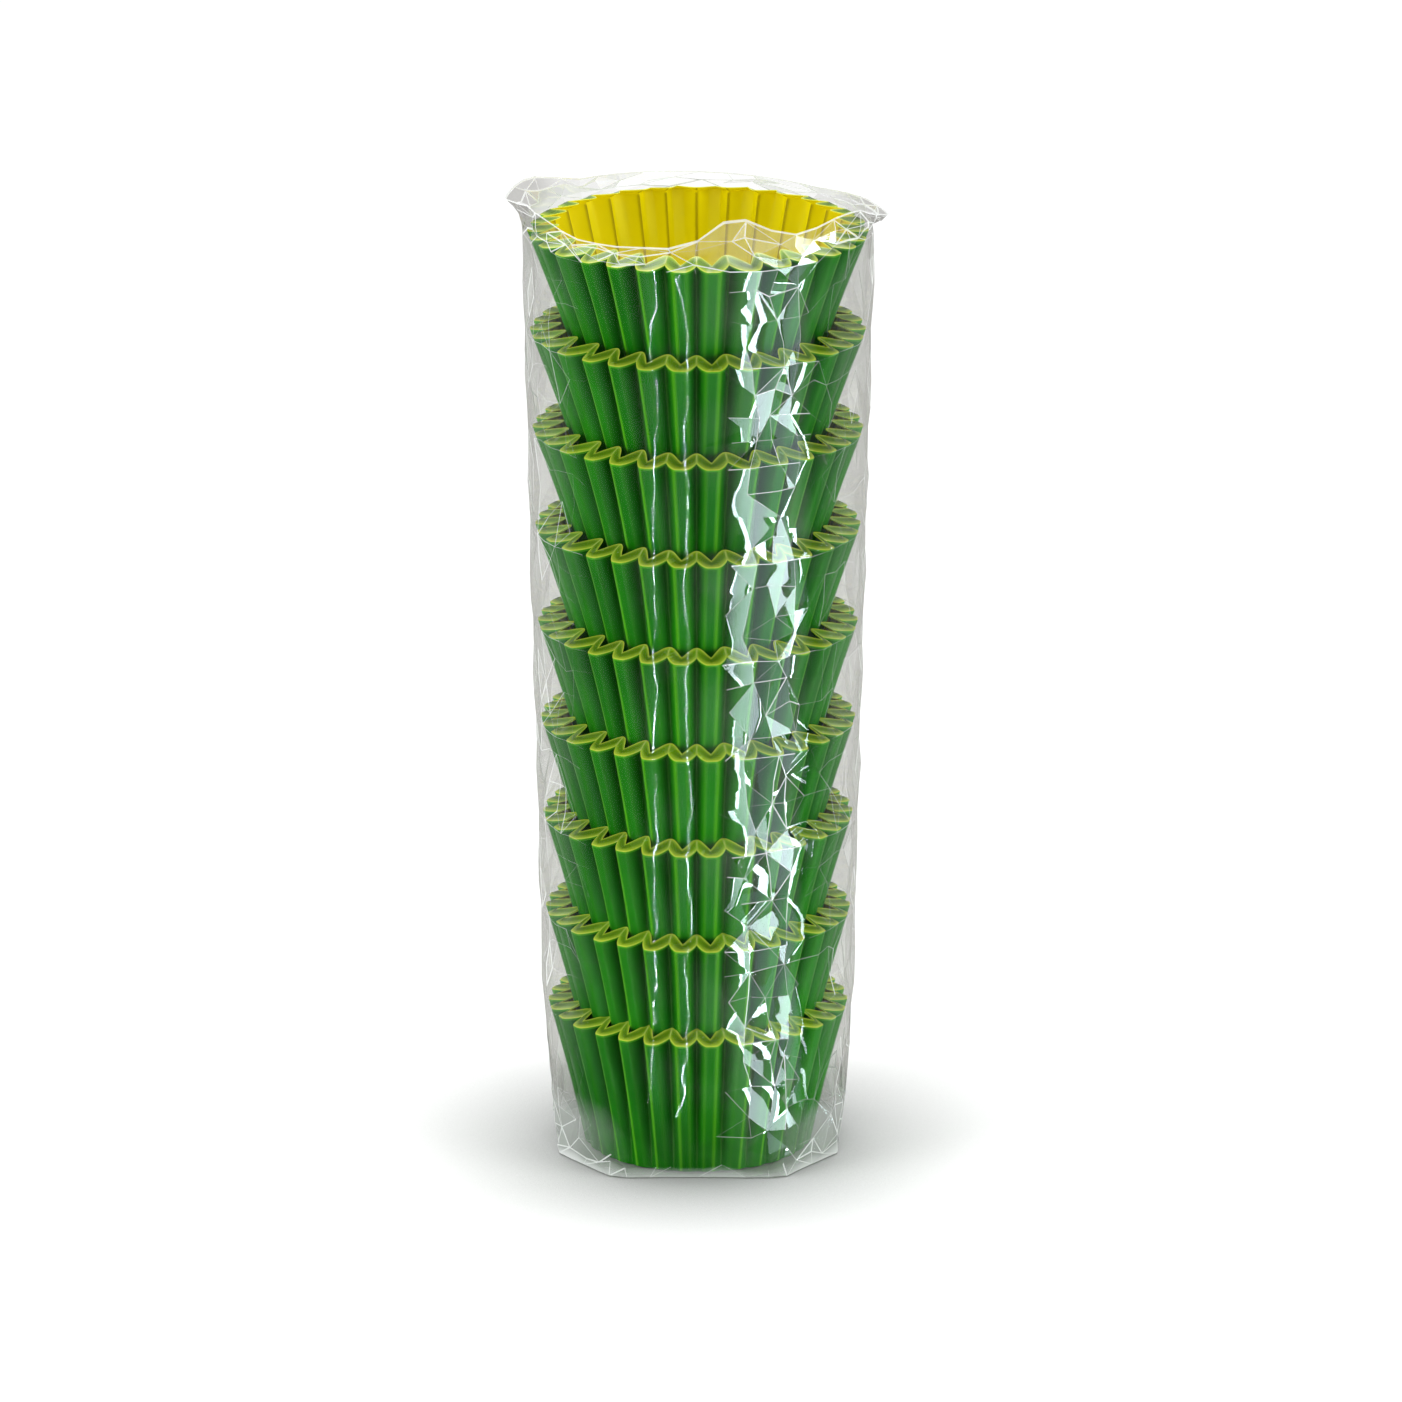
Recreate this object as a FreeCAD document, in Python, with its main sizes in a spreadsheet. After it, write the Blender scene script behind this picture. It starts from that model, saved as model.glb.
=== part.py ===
"""A stack of nine pleated paper baking cups standing one in another in a clear film bag.

Millimetres, +Z up, origin on the surface that the bag stands on, under the stack's axis,
with the front towards -Y. Every cup is one folded sheet: a round floor, a pleated wall that
flares out to a crease, and a lip that turns in from the crease. The bag is one sheet of film
round the stack, with a folded foot under the lowest cup and an open mouth above the top one.
"""
import FreeCAD, Part
import math
import os

from FreeCAD import Vector

# Driving dimensions, in millimetres and degrees
SIZES = [
    ("pleat_count", 30, "folds round one cup"),
    ("cup_count", 9, "cups in the stack"),
    ("paper", 0.2, "thickness of the paper as modelled"),
    ("base_radius", 25.0, "axis to the ridge corners at the floor"),
    ("base_pleat", 0.15, "depth of a pleat at the floor"),
    ("crease_height", 31.6, "floor to the crease at the ridges"),
    ("wall_flare", 11.25, "how far the top cup's wall flares out from floor to crease"),
    ("rim_step", 0.47, "how much narrower each cup's rim is than the one above"),
    ("rim_pleat", 4.0, "depth of a pleat at the crease"),
    ("fold_angle", 25.0, "half angle of the sharp fold in a valley"),
    ("crease_wave", 0.5, "how far the crease rises in the valleys"),
    ("lip_reach", 1.75, "how far the lip turns in at the ridges"),
    ("lip_rise", 0.95, "crease to the lip's edge at the ridges"),
    ("lip_wave", 1.15, "how much higher the lip's edge is in the valleys"),
    ("stack_rise", 21.67, "floor of one cup to the floor of the next"),
    ("seat_gap", 0.25, "lip's valley tips to the groove of the cup above"),
    ("film", 0.3, "thickness of the film as modelled"),
    ("film_gap", 0.3, "rims to the film round them"),
    ("floor_gap", 0.05, "lowest cup's floor to the film under it"),
    ("side_reach", 2.5, "how far the bag's side creases stand out beyond the rims"),
    ("foot_side_gap", 5.8, "lowest floor's edge to the foot's sides"),
    ("foot_front_gap", 3.0, "lowest floor's edge to the foot's front and back edges"),
    ("foot_side_half", 12.0, "half the length of the foot's sides"),
    ("foot_front_half", 18.5, "half the length of the foot's front and back edges"),
    ("hem_height", 12.0, "height at which the foot's corners have run out"),
    ("hem_side_gap", 8.6, "lowest floor's edge out to the side creases at the hem"),
    ("hem_front_gap", 5.6, "lowest floor's edge out to the film's front and back at the hem"),
    ("mouth_height", 7.0, "top cup's crease to the bag's mouth"),
    ("mouth_side_reach", 3.75, "how far the mouth's left and right corners stand out beyond the rim"),
    ("mouth_front_tuck", 1.25, "how far the mouth's front and back stand inside the rim"),
]

FILM_QUARTER_STEPS = 6


def make_sheet(document):
    """Spreadsheet of the driving dimensions, one alias for each."""
    sheet = document.addObject("Spreadsheet::Sheet", "Sizes")
    for row, (alias, number, meaning) in enumerate(SIZES, start=1):
        sheet.set("A%d" % row, alias)
        sheet.set("B%d" % row, str(number))
        sheet.set("C%d" % row, meaning)
        sheet.setAlias("B%d" % row, alias)
    document.recompute()
    return sheet


def rim_radius(sheet, from_top):
    """Axis to the ridge corners at the crease of a cup, counted down from the top one."""
    return sheet.base_radius + sheet.wall_flare - from_top * sheet.rim_step


def polar(radius, angle, height):
    """Point at a distance from the axis, an azimuth in radians and a height."""
    return Vector(radius * math.cos(angle), radius * math.sin(angle), height)


def band(lower, upper):
    """Faces between two closed rings with as many points, flat quads or pairs of triangles."""
    faces = []
    count = len(lower)
    for i in range(count):
        j = (i + 1) % count
        corners = [lower[i], lower[j], upper[j], upper[i]]
        normal = (corners[1] - corners[0]).cross(corners[3] - corners[0])
        normal.normalize()
        if abs((corners[2] - corners[0]).dot(normal)) < 1e-7:
            loops = [corners]
        else:
            loops = [corners[:3], [corners[0], corners[2], corners[3]]]
        for loop in loops:
            faces.append(Part.Face(Part.makePolygon(loop + loop[:1])))
    return faces


def folded_sheet(rings):
    """Closed solid of a folded sheet, from its outside rings up and its inside rings down."""
    faces = [Part.Face(Part.makePolygon(rings[0] + rings[0][:1]))]
    for lower, upper in zip(rings[:-1], rings[1:]):
        faces.extend(band(lower, upper))
    faces.append(Part.Face(Part.makePolygon(rings[-1] + rings[-1][:1])))
    shell = Part.Shell(faces)
    shell.sewShape()
    solid = Part.Solid(shell)
    if solid.Volume < 0:
        solid.reverse()
    return solid


class Cup:
    """Shapes of one cup, in its own frame with its floor's underside at height zero."""

    def __init__(self, sheet, rim_radius):
        self.sheet = sheet
        self.rim_radius = rim_radius
        self.half_pitch = math.pi / int(sheet.pleat_count)
        self.fold = math.radians(sheet.fold_angle)
        self.base_valley = sheet.base_radius - sheet.base_pleat
        self.rim_valley = rim_radius - sheet.rim_pleat

    def groove_radius(self, height):
        """Axis to the outside of a valley at a height of the wall."""
        share = height / self.sheet.crease_height
        return self.base_valley + (self.rim_valley - self.base_valley) * share

    def ridge_corner(self, ridge, valley):
        """Ridge corner where the fold from a valley meets the ridge's radius, as x and y."""
        lean = self.fold - self.half_pitch
        run = math.sqrt(ridge ** 2 - (valley * math.sin(self.fold)) ** 2) - valley * math.cos(self.fold)
        across = valley * math.cos(self.half_pitch) + run * math.cos(lean)
        aside = valley * math.sin(self.half_pitch) - run * math.sin(lean)
        return across, aside

    def ring(self, ridge, valley, heights, inset=(0.0, 0.0), tip_out=0.0):
        """Closed ring of one section: a valley point and two ridge corners for each pleat.

        The heights are those of the ridge corners and of the valley points. The inset moves
        the ridges' faces and the folds' faces inwards, and tip_out moves the valley points
        along their own line beyond the section's valley radius.
        """
        lean = self.fold - self.half_pitch
        ridge_inset, fold_inset = inset
        across, aside = self.ridge_corner(ridge, valley)
        section_tip = valley - fold_inset / math.sin(self.fold)
        if fold_inset:
            across -= ridge_inset
            tip_across = section_tip * math.cos(self.half_pitch)
            tip_aside = section_tip * math.sin(self.half_pitch)
            aside = tip_aside - (across - tip_across) * math.tan(lean)
        corner_radius = math.hypot(across, aside)
        corner_turn = math.atan2(aside, across)
        points = []
        for pleat in range(int(self.sheet.pleat_count)):
            middle = 2 * self.half_pitch * pleat
            points.append(polar(section_tip + tip_out, middle - self.half_pitch, heights[1]))
            points.append(polar(corner_radius, middle - corner_turn, heights[0]))
            points.append(polar(corner_radius, middle + corner_turn, heights[0]))
        return points

    def shape(self):
        """The cup as one folded sheet, its outside from the floor up and its inside back down."""
        sheet = self.sheet
        paper = sheet.paper
        base = (sheet.base_radius, self.base_valley)
        rim = (self.rim_radius, self.rim_valley)
        crease = (sheet.crease_height, sheet.crease_height + sheet.crease_wave)
        edge = (sheet.crease_height + sheet.lip_rise,
                sheet.crease_height + sheet.lip_rise + sheet.lip_wave)
        above = Cup(sheet, self.rim_radius + sheet.rim_step)
        seat = above.groove_radius(edge[1] - sheet.stack_rise) + sheet.seat_gap
        lip = (self.rim_radius - sheet.lip_reach, seat + paper / math.sin(self.fold))
        crease_out = self.groove_radius(crease[1]) - self.rim_valley
        inside_crease = (crease[0] - paper / 2, crease[1] - paper / 2)
        inside_edge = (edge[0] - paper, edge[1] - paper)
        even = (paper, paper)
        rings = [
            self.ring(*base, (0.0, 0.0)),
            self.ring(*rim, crease, tip_out=crease_out),
            self.ring(*lip, edge),
            self.ring(*lip, inside_edge, even),
            self.ring(*rim, inside_crease, even, crease_out),
            self.ring(*base, even, even),
        ]
        return folded_sheet(rings)


def make_cups(document, sheet):
    """The nine cups, numbered from the lowest up, each seated in the one below it."""
    count = int(sheet.cup_count)
    for number in range(1, count + 1):
        cup = Cup(sheet, rim_radius(sheet, count - number))
        feature = document.addObject("Part::Feature", "Cup%d" % number)
        feature.Label = "liner_%d" % number
        feature.Shape = cup.shape()
        feature.Placement = FreeCAD.Placement()
        feature.setExpression("Placement.Base.z",
                              "Sizes.film + Sizes.floor_gap + %d * Sizes.stack_rise" % (number - 1))


def round_quarter(side, flat_distance):
    """Quarter of a round film section, from its side crease to its front, as x and y pairs.

    Its flats clear a radius, and its side crease stands out to a point of its own.
    """
    step = math.pi / (2 * FILM_QUARTER_STEPS)
    radius = flat_distance / math.cos(step / 2)
    turns = [step * i for i in range(1, FILM_QUARTER_STEPS + 1)]
    return [(side, 0.0)] + [(radius * math.cos(turn), radius * math.sin(turn)) for turn in turns]


def foot_quarter(side, front, side_half, front_half):
    """Quarter of the eight-sided foot, with a point halfway along each of its edges."""
    corners = [(side, 0.0), (side, side_half), (front_half, front), (0.0, front)]
    points = []
    for start, end in zip(corners[:-1], corners[1:]):
        points.append(start)
        points.append(((start[0] + end[0]) / 2, (start[1] + end[1]) / 2))
    return points + [corners[-1]]


def film_ring(quarter, height, inset=0.0):
    """Closed ring of the film at one height, the quarter mirrored to the other three.

    The inset moves every point towards the axis by the film's thickness.
    """
    left = [(-x, y) for x, y in reversed(quarter[:-1])]
    back = quarter + left
    front = [(x, -y) for x, y in reversed(back[1:-1])]
    points = []
    for x, y in back + front:
        points.append(polar(math.hypot(x, y) - inset, math.atan2(y, x), height))
    return points


def make_film(document, sheet):
    """The film bag: foot, tube from the lowest rim to the top one, and open mouth."""
    count = int(sheet.cup_count)
    base = sheet.base_radius
    top_rim = rim_radius(sheet, 0)
    low_rim = rim_radius(sheet, count - 1)
    wrap = sheet.film_gap + sheet.film
    first = sheet.film + sheet.floor_gap + sheet.crease_height
    last = first + (count - 1) * sheet.stack_rise
    foot = foot_quarter(base + sheet.foot_side_gap, base + sheet.foot_front_gap,
                        sheet.foot_side_half, sheet.foot_front_half)
    upright = [
        (round_quarter(base + sheet.hem_side_gap, base + sheet.hem_front_gap), sheet.hem_height),
        (round_quarter(low_rim + sheet.side_reach, low_rim + wrap), first),
        (round_quarter(top_rim + sheet.side_reach, top_rim + wrap), last),
        (round_quarter(top_rim + sheet.mouth_side_reach, top_rim - sheet.mouth_front_tuck),
         last + sheet.mouth_height),
    ]
    rings = [film_ring(foot, 0.0)]
    rings += [film_ring(quarter, height) for quarter, height in upright]
    rings += [film_ring(quarter, height, sheet.film) for quarter, height in reversed(upright)]
    rings += [film_ring(foot, sheet.film, sheet.film)]
    feature = document.addObject("Part::Feature", "FilmBag")
    feature.Label = "film_bag"
    feature.Shape = folded_sheet(rings)
    feature.Placement = FreeCAD.Placement()


def check_and_export(document):
    """Check every object and write one STEP file for each sub-part."""
    document.recompute()
    for item in document.Objects:
        if "Invalid" in item.State or "Error" in item.State:
            raise RuntimeError("%s could not be computed: %s" % (item.Name, item.State))
    parts = [item for item in document.Objects if item.isDerivedFrom("Part::Feature")]
    for item in parts:
        shape = item.Shape
        if shape.isNull() or not shape.isValid() or len(shape.Solids) != 1:
            raise RuntimeError("%s has no valid single solid" % item.Label)
    os.makedirs("parts", exist_ok=True)
    for item in parts:
        item.Shape.exportStep("parts/%s.step" % item.Label)
        print(item.Label, "faces", len(item.Shape.Faces), "volume", round(item.Shape.Volume, 1))


def main():
    document = FreeCAD.newDocument("CupStack")
    sheet = make_sheet(document)
    make_cups(document, sheet)
    make_film(document, sheet)
    check_and_export(document)


main()
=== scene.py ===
"""Dresses a stack of pleated paper baking cups in a clear film bag.

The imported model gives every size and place: the boxes of its nodes say where each liner
stands, how wide its rim is and how far the film reaches. Lengths are metres, +Z is up and
the camera looks along +Y.
"""
import math

import bpy
import numpy as np
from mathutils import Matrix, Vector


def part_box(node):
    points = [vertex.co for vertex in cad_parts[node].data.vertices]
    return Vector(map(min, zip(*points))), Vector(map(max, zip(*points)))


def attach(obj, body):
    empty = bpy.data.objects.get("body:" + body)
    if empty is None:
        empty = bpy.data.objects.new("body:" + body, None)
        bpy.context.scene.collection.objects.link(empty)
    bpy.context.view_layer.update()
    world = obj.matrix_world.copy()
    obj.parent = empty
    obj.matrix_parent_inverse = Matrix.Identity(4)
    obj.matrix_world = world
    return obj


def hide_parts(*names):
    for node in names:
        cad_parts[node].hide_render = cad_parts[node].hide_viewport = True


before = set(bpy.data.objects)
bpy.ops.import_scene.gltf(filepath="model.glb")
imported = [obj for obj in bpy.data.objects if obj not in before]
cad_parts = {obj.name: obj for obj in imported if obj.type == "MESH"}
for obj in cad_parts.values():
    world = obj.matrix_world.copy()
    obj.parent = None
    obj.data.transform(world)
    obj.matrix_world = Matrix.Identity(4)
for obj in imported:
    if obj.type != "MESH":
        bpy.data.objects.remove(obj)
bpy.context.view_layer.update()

bl_info = {
    "name": "Baking Cup Stack",
    "version": (1, 0, 0),
    "blender": (4, 5, 0),
    "location": "View3D > Sidebar > Baking cups",
    "description": "Pleated paper baking cups standing one in another in a clear film bag",
    "category": "Object",
}

LINERS = sorted(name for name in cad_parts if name.startswith("liner_"))
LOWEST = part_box(LINERS[0])
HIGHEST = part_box(LINERS[-1])
WALL = 0.0316            # a liner's lowest point to the crease below its lip
FIRST_CREASE = LOWEST[0].z + WALL
LAST_CREASE = HIGHEST[0].z + WALL
SOLE = 0.0003            # height of the film that lies under the liners
MM = 0.001


# Mesh helpers
def mesh_object(name, points, faces, materials=(), face_materials=None, values=None):
    """New smooth object at the origin, with one material index for each face.

    values holds named numbers for each point, which the materials read as attributes.
    """
    mesh = bpy.data.meshes.new(name)
    mesh.from_pydata(points.tolist(), [], faces)
    for material in materials:
        mesh.materials.append(material)
    if face_materials is not None:
        mesh.polygons.foreach_set("material_index", np.asarray(face_materials, np.int32))
    for label, numbers in (values or {}).items():
        attribute = mesh.attributes.new(label, "FLOAT", "POINT")
        attribute.data.foreach_set("value", np.asarray(numbers, np.float32))
    mesh.update()
    mesh.polygons.foreach_set("use_smooth", np.ones(len(mesh.polygons), bool))
    thing = bpy.data.objects.new(name, mesh)
    bpy.context.scene.collection.objects.link(thing)
    return thing


def closed_grid(rows, columns):
    """Quads of a grid whose columns close into rings, with a fan onto a centre at each end.

    The points are the rows one after another, then the first centre and the last centre.
    """
    row, column = np.meshgrid(np.arange(rows - 1), np.arange(columns), indexing="ij")
    after = (column + 1) % columns
    quads = np.stack([row * columns + column, row * columns + after,
                      (row + 1) * columns + after, (row + 1) * columns + column], axis=-1)
    ring = np.arange(columns)
    following = (ring + 1) % columns
    first = np.full(columns, rows * columns)
    last_row = (rows - 1) * columns
    start = np.stack([first, following, ring], axis=-1)
    end = np.stack([first + 1, ring + last_row, following + last_row], axis=-1)
    return quads.reshape(-1, 4).tolist() + start.tolist() + end.tolist()


def fold_angles(mesh):
    """Angle between the faces at each edge, its middle and its step, as arrays."""
    edges = len(mesh.edges)
    normals = np.empty(len(mesh.polygons) * 3)
    mesh.polygons.foreach_get("normal", normals)
    normals = normals.reshape(-1, 3)
    totals = np.empty(len(mesh.polygons), int)
    mesh.polygons.foreach_get("loop_total", totals)
    face_of_loop = np.repeat(np.arange(len(totals)), totals)
    edge_of_loop = np.empty(len(mesh.loops), int)
    mesh.loops.foreach_get("edge_index", edge_of_loop)
    order = np.argsort(edge_of_loop, kind="stable")
    paired = edge_of_loop[order][:-1] == edge_of_loop[order][1:]
    one = face_of_loop[order][:-1][paired]
    two = face_of_loop[order][1:][paired]
    angles = np.zeros(edges)
    cosine = np.clip(np.sum(normals[one] * normals[two], axis=1), -1, 1)
    angles[edge_of_loop[order][:-1][paired]] = np.arccos(cosine)
    ends = np.empty(edges * 2, int)
    mesh.edges.foreach_get("vertices", ends)
    points = np.empty(len(mesh.vertices) * 3)
    mesh.vertices.foreach_get("co", points)
    points = points.reshape(-1, 3)
    pairs = points[ends.reshape(-1, 2)]
    return angles, pairs.mean(axis=1), pairs[:, 1] - pairs[:, 0]


# Shader helpers
def new_material(name):
    """Material with an empty node tree and its output."""
    material = bpy.data.materials.new(name)
    material.use_nodes = True
    tree = material.node_tree
    tree.nodes.clear()
    output = tree.nodes.new("ShaderNodeOutputMaterial")
    return material, tree, output


def node(tree, kind, **settings):
    """New node, with properties by their names and sockets' values by a dictionary."""
    made = tree.nodes.new(kind)
    sockets = settings.pop("sockets", {})
    for label, setting in settings.items():
        setattr(made, label, setting)
    for label, value in sockets.items():
        made.inputs[label].default_value = value
    return made


def colour_mix(tree, share, low, high):
    """Mix of two colours, each a plain colour or a socket, by a socket's share."""
    mixer = node(tree, "ShaderNodeMix", data_type="RGBA")
    tree.links.new(share, mixer.inputs["Factor"])
    for socket, colour in ((mixer.inputs["A"], low), (mixer.inputs["B"], high)):
        if isinstance(colour, bpy.types.NodeSocket):
            tree.links.new(colour, socket)
        else:
            socket.default_value = tuple(colour) + (1.0,) * (4 - len(colour))
    return mixer.outputs["Result"]


def ramp(tree, source, low, high, to_low=0.0, to_high=1.0):
    """Number from low to high carried smoothly onto to_low to to_high."""
    mapped = node(tree, "ShaderNodeMapRange", interpolation_type="SMOOTHSTEP",
                  sockets={"From Min": low, "From Max": high, "To Min": to_low, "To Max": to_high})
    tree.links.new(source, mapped.inputs["Value"])
    return mapped.outputs["Result"]


def noise(tree, scale, detail=3.0, stretch=(1.0, 1.0, 1.0), roughness=0.5):
    """Noise over the piece's own coordinates, stretched by a factor along each axis."""
    place = node(tree, "ShaderNodeTexCoord")
    mapping = node(tree, "ShaderNodeMapping", sockets={"Scale": stretch})
    tree.links.new(place.outputs["Object"], mapping.inputs["Vector"])
    made = node(tree, "ShaderNodeTexNoise",
                sockets={"Scale": scale, "Detail": detail, "Roughness": roughness})
    tree.links.new(mapping.outputs["Vector"], made.inputs["Vector"])
    return made.outputs["Fac"]


def attribute(tree, label):
    """Number that the piece carries under a name."""
    return node(tree, "ShaderNodeAttribute", attribute_name=label).outputs["Fac"]


def bump(tree, height, strength, distance):
    """Normal raised by a height."""
    made = node(tree, "ShaderNodeBump", sockets={"Strength": strength, "Distance": distance})
    tree.links.new(height, made.inputs["Height"])
    return made.outputs["Normal"]


def paper_material(name, colour, deep, fold_colour, groove_colour, gloss, specular=0.06):
    """Glazed paper: two shades mottled by noise, lighter on its folds and rims.

    The fold number lightens the print where the paper is stretched over a fold or cut; on
    the walls' fold corners it is partly a painted highlight, brighter on the corner that faces
    the side lights. The depth number darkens it down in the grooves and in the lip as painted
    shade, and the groove number gives the sharp folds in the valleys a colour of their own,
    which on the inside is painted shade in the crevices.
    """
    material, tree, output = new_material(name)
    mottle = ramp(tree, noise(tree, 55.0, 4.0, (1.0, 1.0, 0.3)), 0.36, 0.66)
    paper = colour_mix(tree, mottle, deep, colour)
    # Painted shade: down in the grooves and in the lip the paper is darkened towards three tenths
    # of its deep colour.
    paper_with_painted_shade = colour_mix(tree, attribute(tree, "depth"), paper, [c * 0.3 for c in deep])
    # Fold lines: lighter print on the folds and the rims, and on the walls' fold corners partly a
    # painted highlight.
    folded = colour_mix(tree, attribute(tree, "fold"), paper_with_painted_shade, fold_colour)
    # Groove lines: the valley folds' own colour outside and on the lip; on the inside this colour
    # is painted shade in the crevices.
    grooved = colour_mix(tree, attribute(tree, "groove"), folded, groove_colour)
    shader = node(tree, "ShaderNodeBsdfPrincipled", sockets={"Specular IOR Level": specular})
    tree.links.new(grooved, shader.inputs["Base Color"])
    worn = ramp(tree, noise(tree, 180.0, 3.0), 0.3, 0.75, gloss - 0.06, gloss + 0.1)
    tree.links.new(worn, shader.inputs["Roughness"])
    cockle = noise(tree, 130.0, 4.0, (1.0, 1.0, 0.4))
    tree.links.new(bump(tree, cockle, 0.3, 0.0003), shader.inputs["Normal"])
    tree.links.new(shader.outputs["BSDF"], output.inputs["Surface"])
    return material


def film_material(name, clear, edge, milky, least, index, crinkle):
    """Clear film: see-through, greyer where it turns away, a glossy skin and a milky share.

    The milky share is the haze number times milky, and never under least. Where the shade
    number is larger than the turn away, it pushes the tint towards the edge colour as painted
    shade.
    """
    material, tree, output = new_material(name)
    facing = node(tree, "ShaderNodeLayerWeight", sockets={"Blend": 0.5})
    # The tint's share of the edge colour: the larger of how far the film turns away and the painted
    # shade number.
    turned = node(tree, "ShaderNodeMath", operation="MAXIMUM")
    tree.links.new(facing.outputs["Facing"], turned.inputs[0])
    tree.links.new(attribute(tree, "shade"), turned.inputs[1])
    tint = colour_mix(tree, turned.outputs["Value"], clear, edge)
    see_through = node(tree, "ShaderNodeBsdfTransparent")
    tree.links.new(tint, see_through.inputs["Color"])
    wrinkled = bump(tree, noise(tree, 60.0, 3.0, (1.0, 1.0, 0.5), 0.5), crinkle, 0.0008)
    body = node(tree, "ShaderNodeBsdfPrincipled",
                sockets={"Base Color": (0.9, 0.93, 0.92, 1.0), "Roughness": 0.3,
                         "Specular IOR Level": 0.3})
    skin = node(tree, "ShaderNodeBsdfAnisotropic", sockets={"Color": (1.0, 1.0, 1.0, 1.0),
                                                            "Roughness": 0.03})
    tree.links.new(wrinkled, skin.inputs["Normal"])
    milk = node(tree, "ShaderNodeMath", operation="MULTIPLY_ADD", use_clamp=True)
    tree.links.new(attribute(tree, "haze"), milk.inputs[0])
    milk.inputs[1].default_value = milky
    milk.inputs[2].default_value = least
    inner = node(tree, "ShaderNodeMixShader")
    tree.links.new(milk.outputs["Value"], inner.inputs["Fac"])
    tree.links.new(see_through.outputs["BSDF"], inner.inputs[1])
    tree.links.new(body.outputs["BSDF"], inner.inputs[2])
    fresnel = node(tree, "ShaderNodeFresnel", sockets={"IOR": index})
    tree.links.new(wrinkled, fresnel.inputs["Normal"])
    shine = node(tree, "ShaderNodeMath", operation="MULTIPLY")
    tree.links.new(fresnel.outputs["Fac"], shine.inputs[0])
    tree.links.new(attribute(tree, "gleam"), shine.inputs[1])
    capped = node(tree, "ShaderNodeMath", operation="MINIMUM")
    tree.links.new(shine.outputs["Value"], capped.inputs[0])
    capped.inputs[1].default_value = 0.12
    outer = node(tree, "ShaderNodeMixShader")
    tree.links.new(capped.outputs["Value"], outer.inputs["Fac"])
    tree.links.new(inner.outputs["Shader"], outer.inputs[1])
    tree.links.new(skin.outputs["BSDF"], outer.inputs[2])
    tree.links.new(outer.outputs["Shader"], output.inputs["Surface"])
    return material


# Settings that a user would change
class LinerSettings(bpy.types.PropertyGroup):
    """Sizes and colours of the paper cups."""
    pleats: bpy.props.IntProperty(
        name="Pleats", description="Folds round one cup", default=30, min=8)
    floor_radius: bpy.props.FloatProperty(
        name="Floor radius", description="Axis to the ridges at the floor",
        default=0.025, unit="LENGTH")
    wall_height: bpy.props.FloatProperty(
        name="Wall height", description="Floor to the crease below the lip",
        default=WALL, unit="LENGTH")
    floor_depth: bpy.props.FloatProperty(
        name="Pleat depth, floor", description="Depth of a pleat at the floor",
        default=0.0004, unit="LENGTH")
    pleat_depth: bpy.props.FloatProperty(
        name="Pleat depth, crease", description="Depth of a pleat at the crease",
        default=0.004, unit="LENGTH")
    lip_reach: bpy.props.FloatProperty(
        name="Lip reach", description="How far the lip turns in at the ridges",
        default=0.0019, unit="LENGTH")
    lip_rise: bpy.props.FloatProperty(
        name="Lip rise", description="Crease to the lip's edge at the ridges",
        default=0.00105, unit="LENGTH")
    lip_depth: bpy.props.FloatProperty(
        name="Lip depth", description="Depth of a pleat at the lip's edge",
        default=0.0049, unit="LENGTH")
    lip_wave: bpy.props.FloatProperty(
        name="Lip wave", description="How much higher the lip's edge is in the valleys",
        default=0.0009, unit="LENGTH")
    paper: bpy.props.FloatProperty(
        name="Paper", description="Thickness of the paper", default=0.00015, unit="LENGTH")
    outside: bpy.props.FloatVectorProperty(
        name="Outside", description="Colour of the outside", subtype="COLOR",
        default=(0.011, 0.215, 0.002))
    outside_deep: bpy.props.FloatVectorProperty(
        name="Outside, deep", description="Deeper shade of the outside", subtype="COLOR",
        default=(0.004, 0.145, 0.001))
    inside: bpy.props.FloatVectorProperty(
        name="Inside", description="Colour of the inside", subtype="COLOR",
        default=(1.0, 0.91, 0.002))
    lip: bpy.props.FloatVectorProperty(
        name="Lip", description="Colour of the turned-in lip", subtype="COLOR",
        default=(0.25, 0.52, 0.012))
    # The fold colour also paints the highlight on the walls' fold corners that face the side
    # lights.
    fold: bpy.props.FloatVectorProperty(
        name="Fold", description="Colour where a fold has stretched the print", subtype="COLOR",
        default=(0.11, 0.47, 0.01))
    rim: bpy.props.FloatVectorProperty(
        name="Rim", description="Colour of the crease and the cut edge", subtype="COLOR",
        default=(0.92, 1.0, 0.1))


class FilmSettings(bpy.types.PropertyGroup):
    """Sizes and look of the clear film bag."""
    clearance: bpy.props.FloatProperty(
        name="Clearance", description="Rims to the film round them",
        default=0.0006, unit="LENGTH")
    side_reach: bpy.props.FloatProperty(
        name="Side reach", description="How far the side creases stand out beyond the rest",
        default=0.0007, unit="LENGTH")
    crumple: bpy.props.FloatProperty(
        name="Crumple", description="How far the film leaves its smooth form",
        default=0.0007, unit="LENGTH")
    crease_width: bpy.props.FloatProperty(
        name="Crease width", description="Width of the sharpest crease",
        default=0.0004, unit="LENGTH")
    clear: bpy.props.FloatVectorProperty(
        name="Clear", description="What one layer lets through face on", subtype="COLOR",
        default=(0.975, 0.975, 0.97))
    # The edge colour is also the tint that the shade number paints onto the film's sides as painted
    # shade.
    edge: bpy.props.FloatVectorProperty(
        name="Edge", description="What one layer lets through where it turns away",
        subtype="COLOR", default=(0.55, 0.545, 0.525))


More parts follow.
